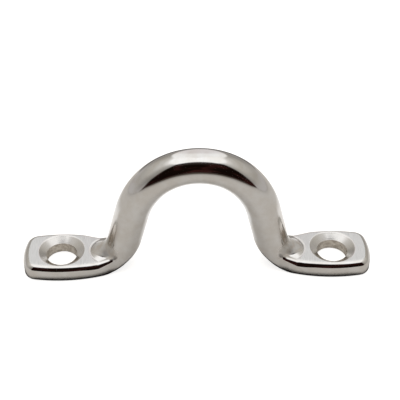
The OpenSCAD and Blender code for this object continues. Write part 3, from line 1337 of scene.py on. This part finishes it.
def door_mask(tree, turn, pitch):
    """1 inside the doorway, which has upright sides and a level top."""
    aside = calc(tree, "ABSOLUTE", calc(tree, "SUBTRACT", turn, DOOR_TURN))
    between = fade(tree, aside, DOOR_HALF_TURN + DOOR_SOFT, DOOR_HALF_TURN - DOOR_SOFT)
    below = fade(tree, pitch, DOOR_TOP + DOOR_SOFT, DOOR_TOP - DOOR_SOFT)
    return product(tree, between, below)


def dark_room(tree, climb):
    """The unlit room behind the doorway, with a little red-brown in it."""
    shapes = grain(tree, own_place(tree), ROOM_SHAPES, detail=3.0)
    brown = fade(tree, shapes, *ROOM_BROWN_IN)
    room = tint(tree, brown, ROOM_DARK, ROOM_BROWN)
    return tint(tree, fade(tree, climb, *ROOM_UP_TO), room, ROOM_TOP)


print("doorway is", 2 * DOOR_HALF_TURN, "degrees wide")

# %% Cloth of the whole tent
def tent_cloth():
    """Glowing cloth: sides, then the roof over them, then the doorway."""
    material = bpy.data.materials.new("tent_cloth")
    material.use_nodes = True
    tree = material.node_tree
    tree.nodes.clear()
    turn, climb, pitch = tent_directions(tree)
    around = calc(tree, "ABSOLUTE", calc(tree, "SUBTRACT", turn, TONGUE_TURN))
    sides = side_cloth(tree, around, climb)
    roof = roof_cloth(tree, around, climb)
    cloth = tint(tree, roof_mask(tree, around, climb), sides, roof)
    cloth = tint(tree, door_mask(tree, turn, pitch), cloth, dark_room(tree, climb))
    glow = put(tree, "ShaderNodeEmission", {"Color": cloth, "Strength": 1.0}).outputs[0]
    put(tree, "ShaderNodeOutputMaterial", {"Surface": glow})
    material.cycles.emission_sampling = "NONE"
    return material


print("cloth is sides, roof and doorway, in that order")

# %% The dome
DOME_FINENESS = 6


def tent_dome():
    """A dome that only the metal sees."""
    shape = bmesh.new()
    bmesh.ops.create_icosphere(shape, subdivisions=DOME_FINENESS, radius=TENT_R)
    mesh = bpy.data.meshes.new("tent")
    shape.to_mesh(mesh)
    shape.free()
    mesh.materials.append(tent_cloth())
    dome = add_object("tent", mesh)
    dome.visible_camera = False
    dome.visible_diffuse = False
    dome.visible_transmission = False
    dome.visible_shadow = False
    return dome


tent = tent_dome()
print("tent has", len(tent.data.polygons), "faces")

# %% [markdown]
# ## World and lamp
#
# The world is white to the camera, off metal and through glass. It lights the floor
# at a plain, even level. One large soft lamp overhead gives the shadow a centre. A
# small one would do that too, but its shadow would have a hard edge.

# %% Rays that see the world as white
def seen_by_eye_or_metal(tree):
    """1 for rays from the camera, off metal and through glass."""
    path = put(tree, "ShaderNodeLightPath", {}).outputs
    seen = calc(tree, "MAXIMUM", path["Is Camera Ray"], path["Is Glossy Ray"])
    return calc(tree, "MAXIMUM", seen, path["Is Transmission Ray"])


print("the camera, metal and glass see a white world")

# %% White world
WORLD_LEVEL = 0.55

world = bpy.data.worlds.new("studio")
bpy.context.scene.world = world
world.use_nodes = True
world_tree = world.node_tree
world_tree.nodes.clear()
level = fade(world_tree, seen_by_eye_or_metal(world_tree), 0.0, 1.0, WORLD_LEVEL, 1.0)
sky = put(world_tree, "ShaderNodeBackground", {"Strength": level})
sky.inputs["Color"].default_value = colour(1, 1, 1)
put(world_tree, "ShaderNodeOutputWorld", {"Surface": sky.outputs[0]})
print("world level on the floor:", WORLD_LEVEL)

# %% Soft lamp overhead
LAMP_SIZE = 0.5
LAMP_BACK = 0.05
LAMP_HEIGHT = 0.45
LAMP_POWER = 1.6

lamp_data = bpy.data.lights.new("softbox", "AREA")
lamp_data.shape = "SQUARE"
lamp_data.size = LAMP_SIZE
lamp_data.energy = LAMP_POWER
lamp = add_object("softbox", lamp_data)
lamp.location = (0, LAMP_BACK, LAMP_HEIGHT)
lamp.visible_camera = False
lamp.visible_glossy = False
print("softbox", LAMP_SIZE, "m wide, hangs at", LAMP_HEIGHT, "m")

# %% [markdown]
# ## The camera
#
# The camera stands in front and looks down at the strap by some 40 degrees. It is
# close enough for the near edges to look a little larger than the far ones. It
# could be dragged into place by hand, but when its place is worked out from a few
# angles and a distance, each of them can be corrected on its own.

# %% Where the camera stands
CAMERA_FROM = 171.5
CAMERA_DOWN = math.radians(40.49)
CAMERA_ROUND = math.radians(-2.34)
CAMERA_ROLL = math.radians(0.84)
AIM = Vector((0.31, 0.0, 14.34))


def camera_matrix():
    """Place and direction of the camera, from its angles and the point it aims at."""
    level_dir = Vector((math.sin(CAMERA_ROUND), -math.cos(CAMERA_ROUND), 0))
    back = level_dir * math.cos(CAMERA_DOWN) + Vector((0, 0, math.sin(CAMERA_DOWN)))
    right_dir = Vector((math.cos(CAMERA_ROUND), math.sin(CAMERA_ROUND), 0))
    up_dir = back.cross(right_dir)
    rolled_right = right_dir * math.cos(CAMERA_ROLL) + up_dir * math.sin(CAMERA_ROLL)
    rolled_up = up_dir * math.cos(CAMERA_ROLL) - right_dir * math.sin(CAMERA_ROLL)
    eye = (AIM + back * CAMERA_FROM) * MM
    turned = Matrix((rolled_right, rolled_up, back)).transposed().to_4x4()
    return Matrix.Translation(eye) @ turned


print(f"camera is {CAMERA_FROM} mm from the point it aims at")

# %% Camera
LENS = 90
SENSOR = 36
CLIP_START = 0.01

camera_data = bpy.data.cameras.new("camera")
camera_data.lens = LENS
camera_data.sensor_width = SENSOR
camera_data.clip_start = CLIP_START
camera = add_object("camera", camera_data)
camera.matrix_world = camera_matrix()
bpy.context.scene.camera = camera
bpy.context.scene.view_settings.view_transform = "Standard"
print("camera at", [round(value / MM) for value in camera.matrix_world.translation], "mm")
